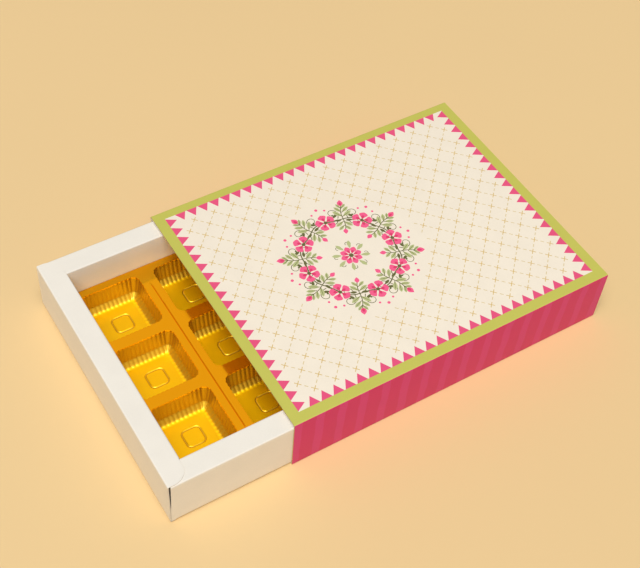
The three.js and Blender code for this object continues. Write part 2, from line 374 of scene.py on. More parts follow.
def gold_material(insert):
    """Metallised sheet, glossy on the web and duller in the cavities, with painted shade on the walls and a
    painted highlight on the paler floors.
    """
    material, tree, shader, place = new_material("gold_sheet")
    gold = {name: tuple(getattr(insert, f"{name}_gold")) for name in ("web", "wall", "floor")}
    shader.inputs["Specular Tint"].default_value = gold["floor"]
    shader.inputs["Coat Weight"].default_value = GOLD_COAT
    shader.inputs["Coat Roughness"].default_value = GOLD_COAT_ROUGHNESS
    height = tree.axes(place)["Z"]
    top = INSERT_HIGH.z
    floor = top - insert.depth
    pressed, wall, flat = (
        tree.ramp(height, level + fade[0], level + fade[1])
        for level, fade in ((floor, FOOT_SHADE_FADE), (floor, WALL_FADE), (top, WEB_FADE))
    )
    # Painted shade on the walls and in the foot's pressed outline, and a painted highlight on the floors
    cavity_gold_painted_light_and_shade = tree.mix(wall, tree.mix(pressed, gold["wall"], gold["floor"]), gold["wall"])
    tree.feed(shader.inputs["Base Color"], tree.mix(flat, cavity_gold_painted_light_and_shade, gold["web"]))
    tree.feed(shader.inputs["Metallic"], tree.span(wall, FLOOR_METALLIC, 1.0))
    smear = tree.span(tree.noise(place, *SMEARS), *SMEAR_ROUGHNESS)
    tree.feed(shader.inputs["Roughness"], tree.math("MULTIPLY", smear, tree.span(flat, 1.0, WEB_SHARE)))
    tree.bump(shader, tree.noise(place, *RIPPLES), RIPPLE_STRENGTH, RIPPLE_HEIGHT)
    return material


# Meshes

def new_mesh(name, vertices, faces, materials, face_materials=None):
    mesh = bpy.data.meshes.new(name)
    mesh.from_pydata([tuple(vertex) for vertex in vertices], [], faces)
    for material in materials:
        mesh.materials.append(material)
    if face_materials:
        mesh.polygons.foreach_set("material_index", face_materials)
    return mesh


def turn_outwards(mesh):
    """Points a closed mesh's faces outwards."""
    work = bmesh.new()
    work.from_mesh(mesh)
    bmesh.ops.recalc_face_normals(work, faces=work.faces)
    work.to_mesh(mesh)
    work.free()


def slabs(name, outlines, materials, paints=None):
    """Closed slabs, each between two like outlines: a cap on either one, and a face for each edge."""
    vertices, faces = [], []
    for low, high in outlines:
        first, count = len(vertices), len(low)
        vertices += low + high
        faces.append(tuple(range(first, first + count)))
        faces.append(tuple(range(first + count, first + 2 * count)))
        for index in range(count):
            here, there = first + index, first + (index + 1) % count
            faces.append((here, there, there + count, here + count))
    mesh = new_mesh(name, vertices, faces, materials, paints)
    turn_outwards(mesh)
    return mesh


def smooth(mesh, degrees):
    """Smooth shading, with edges sharper than the given angle kept crisp."""
    mesh.shade_smooth()
    mesh.set_sharp_from_angle(angle=math.radians(degrees))


def add_object(name, data):
    added = bpy.data.objects.new(name, data)
    bpy.context.scene.collection.objects.link(added)
    return added


def add_piece(name, mesh, body, nodes=()):
    piece = add_object(name, mesh)
    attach(piece, body)
    if nodes:
        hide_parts(*nodes)


def evaluated_mesh(carrier):
    """An object's mesh with its modifiers applied. The object itself is deleted."""
    evaluated = carrier.evaluated_get(bpy.context.evaluated_depsgraph_get())
    mesh = bpy.data.meshes.new_from_object(evaluated)
    carrier.modifiers.clear()
    bpy.data.objects.remove(carrier)
    return mesh


def join_meshes(name, meshes):
    """One mesh from several that share the first one's materials."""
    work = bmesh.new()
    for mesh in meshes:
        work.from_mesh(mesh)
    joined = bpy.data.meshes.new(name)
    work.to_mesh(joined)
    work.free()
    for material in meshes[0].materials:
        joined.materials.append(material)
    return joined


def rounded(centre, radius, start, end, steps):
    """Points on an arc, angles in degrees."""
    angles = [math.radians(start + (end - start) * step / steps) for step in range(steps + 1)]
    return [Vector((centre[0] + radius * math.cos(a), centre[1] + radius * math.sin(a))) for a in angles]


# Geometry Nodes

def new_repeater(name, inputs):
    """A tree that takes one motif as its geometry, and named inputs for its sizes."""
    group = bpy.data.node_groups.new(name, "GeometryNodeTree")
    group.interface.new_socket("Motif", in_out="INPUT", socket_type="NodeSocketGeometry")
    for label, kind in inputs.items():
        group.interface.new_socket(label, in_out="INPUT", socket_type="NodeSocket" + kind)
    group.interface.new_socket("Motif", in_out="OUTPUT", socket_type="NodeSocketGeometry")
    tree = Tree(group)
    return tree, tree.add("NodeGroupInput").outputs


def close_repeater(tree, given, points, **instancing):
    """Puts the motif on the points, and turns the instances into plain faces with their material."""
    inputs = {"Points": points, "Instance": given["Motif"], **instancing}
    instances = tree.add("GeometryNodeInstanceOnPoints", inputs).outputs[0]
    real = tree.add("GeometryNodeRealizeInstances", {0: instances}).outputs[0]
    painted = tree.add("GeometryNodeSetMaterial", {"Geometry": real, "Material": given["Material"]})
    tree.add("NodeGroupOutput", {0: painted.outputs[0]})
    return tree.tree


def line_of_points(tree, count, start=(0.0, 0.0, 0.0), step=(0.0, 0.0, 0.0)):
    inputs = {"Count": count, "Start Location": start, "Offset": step}
    return tree.add("GeometryNodeMeshLine", inputs, mode="OFFSET").outputs[0]


def row_repeater():
    """Motifs along a straight line, each turned by the same angle."""
    tree, given = new_repeater("row_of_motifs", {
        "Count": "Int", "Start": "Vector", "Step": "Vector", "Turn": "Rotation", "Material": "Material",
    })
    line = line_of_points(tree, given["Count"], given["Start"], given["Step"])
    return close_repeater(tree, given, line, Rotation=given["Turn"])


def ring_repeater():
    """Motifs round a circle, their own X axis pointing away from its middle."""
    tree, given = new_repeater("ring_of_motifs", {
        "Count": "Int", "Radius": "Float", "First angle": "Float", "Centre": "Vector",
        "Material": "Material",
    })
    index = tree.add("GeometryNodeInputIndex").outputs[0]
    share = tree.math("DIVIDE", index, given["Count"])
    angle = tree.math("ADD", tree.math("MULTIPLY", share, math.tau), given["First angle"])
    out = tree.vector(
        X=tree.math("MULTIPLY", tree.math("COSINE", angle), given["Radius"]),
        Y=tree.math("MULTIPLY", tree.math("SINE", angle), given["Radius"]),
    )
    points = tree.add("GeometryNodeSetPosition", {
        "Geometry": line_of_points(tree, given["Count"]),
        "Position": tree.vector_math("ADD", given["Centre"], out)[0],
    })
    return close_repeater(tree, given, points.outputs[0], Rotation=tree.about_z(angle))


def lattice_repeater():
    """Motifs on a grid with a round clearing. Every other one is turned the other way, or left out."""
    tree, given = new_repeater("lattice_of_motifs", {
        "Columns": "Int", "Rows": "Int", "Column step": "Float", "Row step": "Float", "Centre": "Vector",
        "Turn": "Float", "Skip every other": "Bool", "Clearing centre": "Vector",
        "Clearing radius": "Float", "Material": "Material",
    })
    index = tree.add("GeometryNodeInputIndex").outputs[0]
    row = tree.math("FLOOR", tree.math("DIVIDE", index, given["Columns"]))
    column = tree.math("SUBTRACT", index, tree.math("MULTIPLY", row, given["Columns"]))
    odd = tree.math("MODULO", tree.math("ADD", row, column), 2.0)

    def middle_out(number, total, step):
        half = tree.math("MULTIPLY", tree.math("SUBTRACT", total, 1.0), 0.5)
        return tree.math("MULTIPLY", tree.math("SUBTRACT", number, half), step)

    grid = tree.vector(
        X=middle_out(column, given["Columns"], given["Column step"]),
        Y=middle_out(row, given["Rows"], given["Row step"]),
    )
    spot = tree.vector_math("ADD", given["Centre"], grid)[0]
    reach = tree.vector_math("DISTANCE", spot, given["Clearing centre"])["Value"]
    cleared = tree.math("LESS_THAN", reach, given["Clearing radius"])
    skipped = tree.math("MULTIPLY", tree.math("SUBTRACT", 1.0, odd), given["Skip every other"])
    side = tree.math("SUBTRACT", 1.0, tree.math("MULTIPLY", odd, 2.0))
    count = tree.math("MULTIPLY", given["Columns"], given["Rows"])
    points = tree.add("GeometryNodeSetPosition", {
        "Geometry": line_of_points(tree, count), "Position": spot,
    })
    return close_repeater(
        tree, given, points.outputs[0],
        Selection=tree.math("LESS_THAN", tree.math("ADD", cleared, skipped), 0.5),
        Rotation=tree.about_z(tree.math("MULTIPLY", given["Turn"], side)),
    )


def repeat(motif, group, **values):
    """Runs a repeater on a motif mesh, and returns its result as a plain mesh."""
    carrier = add_object("repeat", motif)
    modifier = carrier.modifiers.new("repeat", "NODES")
    modifier.node_group = group
    sockets = {
        item.name.lower().replace(" ", "_"): item.identifier
        for item in group.interface.items_tree
        if item.in_out == "INPUT"
    }
    for name, value in values.items():
        modifier[sockets[name]] = value
    result = evaluated_mesh(carrier)
    result.materials.clear()
    result.materials.append(values["material"])
    return result


# Sleeve

CREASE_STEPS = 4
SLEEVE_SHARP = 30.0
FLAP_BEVEL = 0.15 * MM


def along_sleeve(name, section, materials, cap_material, section_materials):
    """A closed section in Y and Z, run from one end of the sleeve to the other."""
    ends = [[(x, point[0], point[1]) for point in section] for x in (SLEEVE_LOW.x, SLEEVE_HIGH.x)]
    mesh = slabs(name, [ends], materials, [cap_material] * 2 + section_materials)
    smooth(mesh, SLEEVE_SHARP)
    return mesh


def make_sleeve(sleeve):
    """Four panels that meet in the middle of their rounded folds, and the flap that holds them."""
    top_print = top_print_material(sleeve)
    side_print = side_print_material(sleeve)
    inside = board_material("sleeve_inside", sleeve.inside, roughness=0.7, fibre=0.3)
    # Cut edge: ink-tinted board, darkened as painted shade
    cut = board_material("sleeve_cut_edge", sleeve.cut_edge, roughness=0.8, fibre=0.4)
    radius = sleeve.crease_radius
    near, far = SLEEVE_LOW.y + radius, SLEEVE_HIGH.y - radius
    low, high = SLEEVE_LOW.z + radius, SLEEVE_HIGH.z - radius
    panels = {
        "top": (90, (near, high), (far, high), top_print, "sleeve_top_print"),
        "far": (0, (far, high), (far, low), side_print, "sleeve_side_print"),
        "bottom": (-90, (far, low), (near, low), side_print, "sleeve_side_print"),
        "near": (-180, (near, low), (near, high), side_print, "sleeve_side_print"),
    }
    for side, (facing, start, end, print_material, slot) in panels.items():
        def skin(skin_radius):
            first = rounded(start, skin_radius, facing + 45, facing, CREASE_STEPS)
            return first + rounded(end, skin_radius, facing, facing - 45, CREASE_STEPS)
        outer = skin(radius)
        inner = skin(radius - SLEEVE_BOARD)
        spans = len(outer) - 1
        paints = [0] * spans + [2] + [1] * spans + [2]
        mesh = along_sleeve(f"sleeve_{side}", outer + inner[::-1], [print_material, inside, cut], 2, paints)
        add_piece(f"sleeve_{side}", mesh, "sleeve", [f"sleeve_{side}_panel"])

    low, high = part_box("sleeve_glue_flap")
    flap = [
        (low.y, low.z), (high.y, low.z), (high.y, high.z),
        (low.y + FLAP_BEVEL, high.z), (low.y, high.z - FLAP_BEVEL),
    ]
    mesh = along_sleeve("sleeve_flap", flap, [inside, cut], 1, [0, 0, 0, 1, 1])
    add_piece("sleeve_flap", mesh, "sleeve", ["sleeve_glue_flap"])


# Top print

PRINT_SINK = 0.02 * MM
INK = 0.002 * MM

# Shapes that cross each other lie on different coats of ink
SPRIG, RING, CALYX, CURL_TIP, LEAF, RIB, PETAL, HEART, EYE = range(3, 12)


def inked(name, outlines, coats):
    """Flat shapes as thin slabs of ink, sunk into the sleeve's top and standing just proud of it."""
    levels = SLEEVE_HIGH.z - PRINT_SINK, SLEEVE_HIGH.z + coats * INK
    slab_ends = [
        [[(point[0], point[1], z) for point in outline] for z in levels] for outline in outlines
    ]
    return slabs(name, slab_ends, [])


def add_print(name, meshes):
    add_piece(name, join_meshes(name, meshes), "sleeve")


def turned(outline, degrees, shift=(0.0, 0.0)):
    """An outline turned about its origin and then moved."""
    turn = Matrix.Rotation(math.radians(degrees), 2)
    return [turn @ Vector(point) + Vector(shift) for point in outline]


def bar(size, width):
    """A straight stroke along X, centred."""
    x, y = 0.5 * size, 0.5 * width
    return [(-x, -y), (x, -y), (x, y), (-x, y)]


def blade(size, width, fullest, steps=7):
    """A leaf or petal along X from its base. Fullest is where it is widest, as a share of its length."""
    power = math.log(0.5) / math.log(fullest)
    run = [step / steps for step in range(1, steps)]
    edge = [(size * t, 0.5 * width * math.sin(math.pi * t ** power)) for t in run]
    return [(0.0, 0.0)] + [(x, -y) for x, y in edge] + [(size, 0.0)] + edge[::-1]


def disc(radius, steps=14):
    return rounded((0.0, 0.0), radius, 0.0, 360.0, steps)[:-1]


def stroke(path, width_start, width_end):
    """A thin tapering line along a list of points."""
    left, right = [], []
    last = len(path) - 1
    for index, point in enumerate(path):
        ahead = Vector(path[min(index + 1, last)]) - Vector(path[max(index - 1, 0)])
        across = Vector((-ahead.y, ahead.x)).normalized()
        half = 0.5 * (width_start + (width_end - width_start) * index / last)
        left.append(Vector(point) + across * half)
        right.append(Vector(point) - across * half)
    return right + left[::-1]


def make_sawtooth(sleeve, top):
    """Pink triangles on the four edges of the cream field, pointing inwards."""
    pink = ink_material("tooth_ink", top.tooth)
    row = row_repeater()
    centre, half = Vector(sleeve.field_centre), Vector(sleeve.field_half)
    end_pitch = 2.0 * half.y / top.end_teeth
    side_pitch = 2.0 * (half.x - top.side_teeth_start) / top.side_teeth
    edges = [
        (top.side_teeth, side_pitch, Vector((1, 0)), Vector((0, -half.y)), 0),
        (top.side_teeth, side_pitch, Vector((1, 0)), Vector((0, half.y)), 180),
        (top.end_teeth, end_pitch, Vector((0, 1)), Vector((-half.x, 0)), -90),
        (top.end_teeth, end_pitch, Vector((0, 1)), Vector((half.x, 0)), 90),
    ]
    rows = []
    for count, pitch, along, edge, turn in edges:
        base = 0.5 * pitch * top.tooth_fill
        tooth = inked("tooth", [[(-base, 0.0), (base, 0.0), (0.0, top.tooth_height)]], PETAL)
        start = centre + edge - along * (0.5 * pitch * (count - 1))
        rows.append(repeat(
            tooth, row, count=count, start=start.to_3d(), step=(along * pitch).to_3d(),
            turn=(0.0, 0.0, math.radians(turn)), material=pink,
        ))
    add_print("top_sawtooth", rows)


def make_lattice(sleeve, top):
    """Dashed diamonds with a small cross at each crossing, clear of the wreath."""
    lattice = lattice_repeater()
    step_x, step_y = top.lattice_step
    slope = math.atan2(step_y, step_x)
    shared = {
        "column_step": step_x,
        "row_step": step_y,
        "centre": Vector(sleeve.field_centre).to_3d(),
        "clearing_centre": Vector(top.wreath_centre).to_3d(),
        "clearing_radius": top.wreath_clearing,
    }
    arms = [turned(bar(2.0 * top.cross_arm, top.line), side * math.degrees(slope)) for side in (1, -1)]
    cross = join_meshes("cross", [inked("arm", [arm], LEAF + k) for k, arm in enumerate(arms)])
    add_print("top_crosses", [repeat(
        cross, lattice, columns=top.lattice_columns, rows=top.lattice_rows, turn=0.0, skip_every_other=True,
        material=ink_material("cross_ink", top.cross), **shared,
    )])
    dash = inked("dash", [bar(top.dash, top.line)], LEAF)
    add_print("top_dashes", [repeat(
        dash, lattice, columns=top.lattice_columns - 1, rows=top.lattice_rows - 1, turn=-slope,
        skip_every_other=False, material=ink_material("dash_ink", top.link), **shared,
    )])


# The wreath is drawn in millimetres and degrees
WREATH_PARTS = 8
CURL_POWER = 1.7
STEM_WIDTH = 0.42
RING_WIDTH = 0.6
RING_WAVE = 0.8
RING_STEPS = 12

# Leaves on a sprig: distance along it, length, width, and angle to either side
SPRIG_LEAVES = (
    (1.6, 6.0, 2.3, 52), (4.4, 5.2, 2.0, 44), (7.0, 3.9, 1.6, 38), (-1.6, 5.4, 2.1, 52), (-4.2, 4.4, 1.8, 44),
)

# Leaves on either side of a blossom: length, angle and distance outwards
BLOSSOM_LEAVES = ((4.6, 66, 0.6), (4.2, 114, -0.6))

# Tendrils on either side of a sprig: length, turn, first heading and foot
TENDRILS = ((13.5, 300, -16, (0.4, 2.6)), (10.5, -300, 166, (-0.4, 2.6)))


def curl(size, turn, start=0.0, steps=14):
    """Points along a tendril that sets off at the start angle and coils more tightly towards its tip."""
    point = Vector((0.0, 0.0))
    path = [point]
    for step in range(steps):
        heading = math.radians(start + turn * ((step + 0.5) / steps) ** CURL_POWER)
        point = point + Vector((math.cos(heading), math.sin(heading))) * size / steps
        path.append(point)
    return path


def make_wreath(top):
    """A round wreath: a waving stem ring with eight blossoms, and leafy sprigs with tendrils between."""
    ring = ring_repeater()
    centre = Vector(top.wreath_centre).to_3d()
    radius = top.wreath_radius / MM
    between = math.pi / WREATH_PARTS

    def circle_of(ink, outlines, coats, reach, first_angle=0.0, count=WREATH_PARTS):
        motif = inked("motif", [[Vector(point) * MM for point in outline] for outline in outlines], coats)
        return repeat(
            motif, ring, count=count, radius=reach * MM, first_angle=first_angle, centre=centre, material=ink
        )

    def star(outline, count, out):
        """An outline turned in even steps round its origin, each copy a little way out from it."""
        return [turned([(x + out, y) for x, y in outline], 360.0 * k / count) for k in range(count)]

    leaves, ribs = [], []
    for place, size, width, angle in SPRIG_LEAVES:
        facing = 0.0 if place > 0.0 else 180.0
        for side in (1, -1):
            heading, foot = facing + side * angle, (place, 0.0)
            leaves.append(turned(blade(size, width, 0.58), heading, foot))
            ribs.append(turned(stroke([(0.0, 0.0), (0.8 * size, 0.0)], 0.34, 0.2), heading, foot))
    blossom_leaves = [
        turned(blade(size, 1.5, 0.6), side * angle, (shift, side * 4.0))
        for size, angle, shift in BLOSSOM_LEAVES for side in (1, -1)
    ]

    # The stem ring in eight waving lengths
    arc = []
    for step in range(RING_STEPS + 1):
        share = step / RING_STEPS
        angle = 2.0 * between * (share - 0.5)
        reach = radius + RING_WAVE * math.sin(math.tau * share)
        arc.append((reach * math.cos(angle), reach * math.sin(angle)))
    sprig = stroke([(x, 0.5 * math.sin(0.4 * x)) for x in range(-7, 10)], STEM_WIDTH, STEM_WIDTH)
    tendrils, tips = [], []
    for side in (1, -1):
        for size, turn, start, foot in TENDRILS:
            path = [Vector((x + foot[0], side * (y + foot[1]))) for x, y in curl(size, turn, start)]
            tendrils.append(stroke(path, STEM_WIDTH, 0.3))
            tips.append([point + path[-1] for point in disc(0.55, 10)])

    olive = ink_material("stem_ink", top.stem)
    add_print("wreath_stems", [
        circle_of(olive, [stroke(arc, RING_WIDTH, RING_WIDTH)], RING, 0.0, between),
        circle_of(olive, [sprig] + tendrils, SPRIG, radius, between),
        circle_of(olive, tips, CURL_TIP, radius, between),
        circle_of(olive, ribs, RIB, radius, between),
        circle_of(olive, blossom_leaves, CALYX, radius),
        circle_of(olive, [disc(0.95)], EYE, radius),
        circle_of(olive, [disc(1.2)], EYE, 0.0, count=1),
        circle_of(olive, [stroke(curl(7.0, 260, -30), 0.4, 0.28)], SPRIG, 5.0, between),
    ])
    green = ink_material("leaf_ink", top.leaf)
    add_print("wreath_leaves", [
        circle_of(green, leaves, LEAF, radius, between),
        circle_of(green, [blade(5.2, 2.0, 0.6)], LEAF, 4.4, between),
    ])
    pink = ink_material("blossom_ink", top.blossom)
    add_print("wreath_blossoms", [
        circle_of(pink, star(blade(5.0, 4.5, 0.68, 9), 5, 0.4), PETAL, radius),
        circle_of(pink, [turned(blade(4.2, 3.0, 0.45), 0.0, (8.6, 0.0))], PETAL, radius, between),
        circle_of(pink, [turned(blade(3.4, 2.4, 0.45), 180.0, (-6.6, 0.0))], PETAL, radius, between),
        circle_of(pink, [blade(5.0, 3.1, 0.66)], PETAL, 0.7),
        circle_of(pink, [disc(0.8)], PETAL, radius + 9.4),
        circle_of(pink, [disc(0.6)], PETAL, radius + 7.6, 0.3 * between),
        circle_of(pink, [disc(0.6)], PETAL, radius + 7.6, -0.3 * between),
    ])
    deep = ink_material("blossom_heart_ink", top.blossom_heart)
    add_print("wreath_hearts", [
        circle_of(deep, star(blade(2.9, 1.6, 0.6), 5, 0.5), HEART, radius),
        circle_of(deep, [turned(blade(2.6, 1.3, 0.5), 0.0, (8.7, 0.0))], HEART, radius, between),
        circle_of(deep, [blade(2.7, 1.3, 0.6)], HEART, 0.9),
    ])


# Tray

FOLD_STEPS = 5
TRAY_SHARP = 35.0
END_STRIPS = 24
SIDE_STRIPS = 32
WALL_PANELS = ("wall", "rim", "inner_wall", "foot_flap")

# Legs of a wall's section, 0 to 4: the lap under the base, and then the four panels
LEG_DIVISIONS = (1, 14, 22, 4, 1)
BASE_LAP = 2.6 * MM
WALL_GAP = 0.6 * MM

# Slits at the corners: height at which they start, and the shares that the far and back ones open
SLIT_FOOT = 11.0 * MM
SLIT_FAR_SHARE = 0.4
SLIT_BACK_SHARE = 0.4

# Corner tabs: rise of the slanting cut above their fold, and bevel of their free end
TAB_RISE = 4.0 * MM
TAB_BEVEL = 2.0 * MM


def fold_path(corners, radius):
    """A folded board's good side as (leg, point, normal) along its section, with rounded creases.

    The good side is on the left. Legs are numbered from 0, and a crease's points lie between two.
    """
    corners = [Vector(corner) for corner in corners]
    headings = [(end - start).normalized() for start, end in zip(corners, corners[1:])]
    bends = [
        math.atan2(before.cross(after), before.dot(after)) for before, after in zip(headings, headings[1:])
    ]
    trims = [0.0] + [radius * math.tan(0.5 * abs(bend)) for bend in bends] + [0.0]
    path = []
    for leg, ahead in enumerate(headings):
        normal = Vector((-ahead.y, ahead.x))
        start = corners[leg] + ahead * trims[leg]
        end = corners[leg + 1] - ahead * trims[leg + 1]
        for step in range(LEG_DIVISIONS[leg] + 1):
            path.append((leg, start.lerp(end, step / LEG_DIVISIONS[leg]), normal))
        if leg < len(bends):
            side = math.copysign(1.0, bends[leg])
            middle = end + normal * radius * side
            for step in range(1, FOLD_STEPS):
                facing = Matrix.Rotation(bends[leg] * step / FOLD_STEPS, 2) @ normal
                path.append((leg + step / FOLD_STEPS, middle - facing * radius * side, facing))
    return path


def folded_strip(name, path, ends, place, across, materials):
    """The tray's board along a fold path. ends gives a path point's two ends, and place its spot."""
    rows = len(path)
    width = across + 1
    vertices = []
    for depth in (0.0, TRAY_BOARD):
        for leg, point, normal in path:
            low, high = ends(leg, point)
            for step in range(width):
                vertices.append(place(point - normal * depth, low + (high - low) * step / across))
    back = rows * width
    faces, paints = [], []
    for row in range(rows - 1):
        for step in range(across):
            here = row * width + step
            quad = (here, here + 1, here + width + 1, here + width)
            faces.append(quad)
            faces.append(tuple(back + index for index in reversed(quad)))
            paints += [0, 0]
        for here in (row * width, row * width + across):
            faces.append((here, here + width, back + here + width, back + here))
            paints.append(1)
    for first in (0, (rows - 1) * width):
        for step in range(across):
            here = first + step
            faces.append((here, here + 1, back + here + 1, back + here))
            paints.append(1)
    mesh = new_mesh(name, vertices, faces, materials, paints)
    turn_outwards(mesh)
    smooth(mesh, TRAY_SHARP)
    return mesh


def tray_section(rim_top):
    """Corners of a wall's section, from under the base up, over the rim and down to the foot flap."""
    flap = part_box("tray_front_foot_flap")
    return [
        (BASE_LAP, TRAY_LOW.z),
        (0.0, TRAY_LOW.z),
        (0.0, rim_top),
        (RIM_WIDTH, rim_top),
        (RIM_WIDTH, FOOT_FLAP_TOP),
        (RIM_WIDTH + flap[1].x - flap[0].x, FOOT_FLAP_TOP),
    ]


def make_tray(tray):
    """Base, four hollow folded walls and the corner tabs inside them."""
    white = board_material("white_board", tray.board)
    cut = board_material("board_cut_edge", tray.cut_edge, roughness=0.8, fibre=0.4)

    # Front and back: full width, with rounded rim ends over the side rims
    outer = TRAY_HIGH.y
    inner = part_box("tray_front_inner_wall")[1].y
    straight = RIM_WIDTH - tray.rim_corner

    def end_reach(leg, point):
        if leg <= 1.5 or point.x <= straight:
            reach = outer - tray.corner_wear * max(point.y - SLIT_FOOT, 0.0) / (END_RIM_TOP - SLIT_FOOT)
        elif leg <= 2:
            run = min(point.x - straight, tray.rim_corner)
            reach = outer - tray.corner_wear - tray.rim_corner + math.sqrt(tray.rim_corner ** 2 - run ** 2)
        else:
            reach = inner
        return -reach, reach

    # Near and far: between the end walls, with a slit that opens towards the rim at the corners
    inner_low, inner_high = (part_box("tray_near_inner_wall")[k].x for k in (0, 1))
    flap_low, flap_high = (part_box("tray_near_foot_flap")[k].x for k in (0, 1))

    def side_reach(slit):
        def reach(leg, point):
            if leg < 1:
                return TRAY_LOW.x + BASE_LAP, TRAY_HIGH.x - BASE_LAP
            if leg <= 2:
                rise = min(max((point.y - SLIT_FOOT) / (SIDE_RIM_TOP - SLIT_FOOT), 0.0), 1.0)
                opening = slit * math.sqrt(rise)
                return TRAY_LOW.x + WALL_GAP + opening, TRAY_HIGH.x - WALL_GAP - SLIT_BACK_SHARE * opening
            if leg <= 3:
                return inner_low, inner_high
            return flap_low, flap_high
        return reach

    ends = fold_path(tray_section(END_RIM_TOP), tray.crease_radius), END_STRIPS
    sides = fold_path(tray_section(SIDE_RIM_TOP), tray.crease_radius), SIDE_STRIPS
    near_slit = side_reach(tray.corner_slit)
    far_slit = side_reach(SLIT_FAR_SHARE * tray.corner_slit)
    walls = {
        "front": (ends, end_reach, lambda at, across: (TRAY_LOW.x + at.x, across, at.y)),
        "back": (ends, end_reach, lambda at, across: (TRAY_HIGH.x - at.x, across, at.y)),
        "near": (sides, near_slit, lambda at, across: (across, TRAY_LOW.y + at.x, at.y)),
        "far": (sides, far_slit, lambda at, across: (across, TRAY_HIGH.y - at.x, at.y)),
    }
    for side, ((path, strips), reach, place) in walls.items():
        mesh = folded_strip(f"tray_{side}", path, reach, place, strips, [white, cut])
        nodes = [f"tray_{side}_{panel}" for panel in WALL_PANELS]
        add_piece(f"tray_{side}", mesh, "tray", nodes)

    # The flat base, inside the lap of the folded walls
    low, high = TRAY_LOW.xy + Vector((BASE_LAP, BASE_LAP)), TRAY_HIGH.xy - Vector((BASE_LAP, BASE_LAP))
    corners = [(low.x, low.y), (high.x, low.y), (high.x, high.y), (low.x, high.y)]
    faces = [[(x, y, z) for x, y in corners] for z in (TRAY_LOW.z, TRAY_HIGH.z)]
    mesh = slabs("tray_base_sheet", [faces], [white])
    add_piece("tray_base_sheet", mesh, "tray", ["tray_base"])
    make_corner_tabs(white, cut)


def make_corner_tabs(white, cut):
    """Tabs inside the hollow walls, cut away from the corner above the fold that joins them to a side."""
    tabs, paints = [], []
    nodes = [f"tray_{end}_{side}_tab" for end in ("front", "back") for side in ("near", "far")]
    for node in nodes:
        low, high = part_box(node)
        corner, inwards = (low.y, 1.0) if "near" in node else (high.y, -1.0)
        reach = high.y - low.y
        outline = [
            (0.0, low.z), (0.0, SLIT_FOOT), (0.3 * reach, SLIT_FOOT + TAB_RISE), (0.4 * reach, high.z),
            (0.9 * reach, high.z), (reach, high.z - TAB_BEVEL), (reach, low.z),
        ]
        tabs.append([[(x, corner + inwards * run, z) for run, z in outline] for x in (low.x, high.x)])
        paints += [0, 0] + [1] * len(outline)
    mesh = slabs("tray_corner_tabs", tabs, [white, cut], paints)
    add_piece("tray_corner_tabs", mesh, "tray", nodes)


# Insert

RING_POINTS = 260
FOOT_POINTS = 52
MERGE_DISTANCE = 0.01 * MM
INSERT_SHARP = 60.0

# Upright part of a normal from which a face is shaded flat
LEVEL = 0.9999

# Sloping foot of a wall: degrees from upright, and the radius and steps of the bends above and below it
SLOPE_TURN = 45.0
SLOPE_HEAD = 1.2 * MM
SLOPE_FOOT = 2.6 * MM
SLOPE_STEPS = 3

# Share of a flute's depth left at the foot, and the strip of floor on which it fades out
FLUTE_END = 0.8
FLOOR_MARGIN = 1.0 * MM

# A cavity's corners tighten by this share of the wall's inset, down to the least radius
CORNER_SHRINK = 0.65
LEAST_CORNER = 1.2 * MM

# Groove between two rows, which stops short at the far side and grows shallow towards its ends
GROOVE_DEPTH = 0.35 * MM
GROOVE_HALF = 0.33 * MM
GROOVE_SHORT = 6.5 * MM
GROOVE_TAPER = 3.0 * MM

# The rolled edge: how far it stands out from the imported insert, and the upright strip below it
EDGE_REACH = 0.3 * MM
EDGE_STEPS = 4
SKIRT = 1.5 * MM

# The foot's outline: its corner radius, and its pressed line as distance out and share of the depth
FOOT_CORNER = 2.2 * MM
FOOT_LINE = ((0.6 * MM, 0.0), (0.3 * MM, 0.6), (0.0, 1.0), (-0.3 * MM, 0.6), (-0.6 * MM, 0.0))


def rounded_ring(reach, radius, run, count):
    """Points round a rounded oblong from the middle of its +X +Y corner, with outward normal and room.

    The reach is to the +Y, -X, -Y and +X sides. Each half side has as many points as its run along a
    straight wall would have. Those past the wall's end crowd into the corner, where the room is less than 1.
    """
    per_side = count // 4
    ring = []
    for index in range(count):
        side, step = divmod(index, per_side)
        along = run * (1.0 - 2.0 * step / per_side)
        flat = reach[side - 1 if along > 0.0 else (side + 1) % 4] - radius
        past = max(0.0, abs(along) - flat) / (run - flat)
        crowded = 1.0 - 0.25 * math.pi * radius / (run - flat)
        angle = 0.5 * math.pi - math.copysign(0.25 * math.pi * past, along)
        centre = Vector((math.copysign(min(abs(along), flat), along), reach[side] - radius))
        normal = Vector((math.cos(angle), math.sin(angle)))
        turn = Matrix.Rotation(side * math.pi / 2, 2)
        room = 1.0 - crowded * min(1.0, 2.0 * past)
        ring.append((turn @ (centre + normal * radius), turn @ normal, room))
    return ring


def half_run(half, radius):
    """From the middle of a rounded square's side to the middle of its corner, along the outline."""
    return half - radius + 0.25 * math.pi * radius


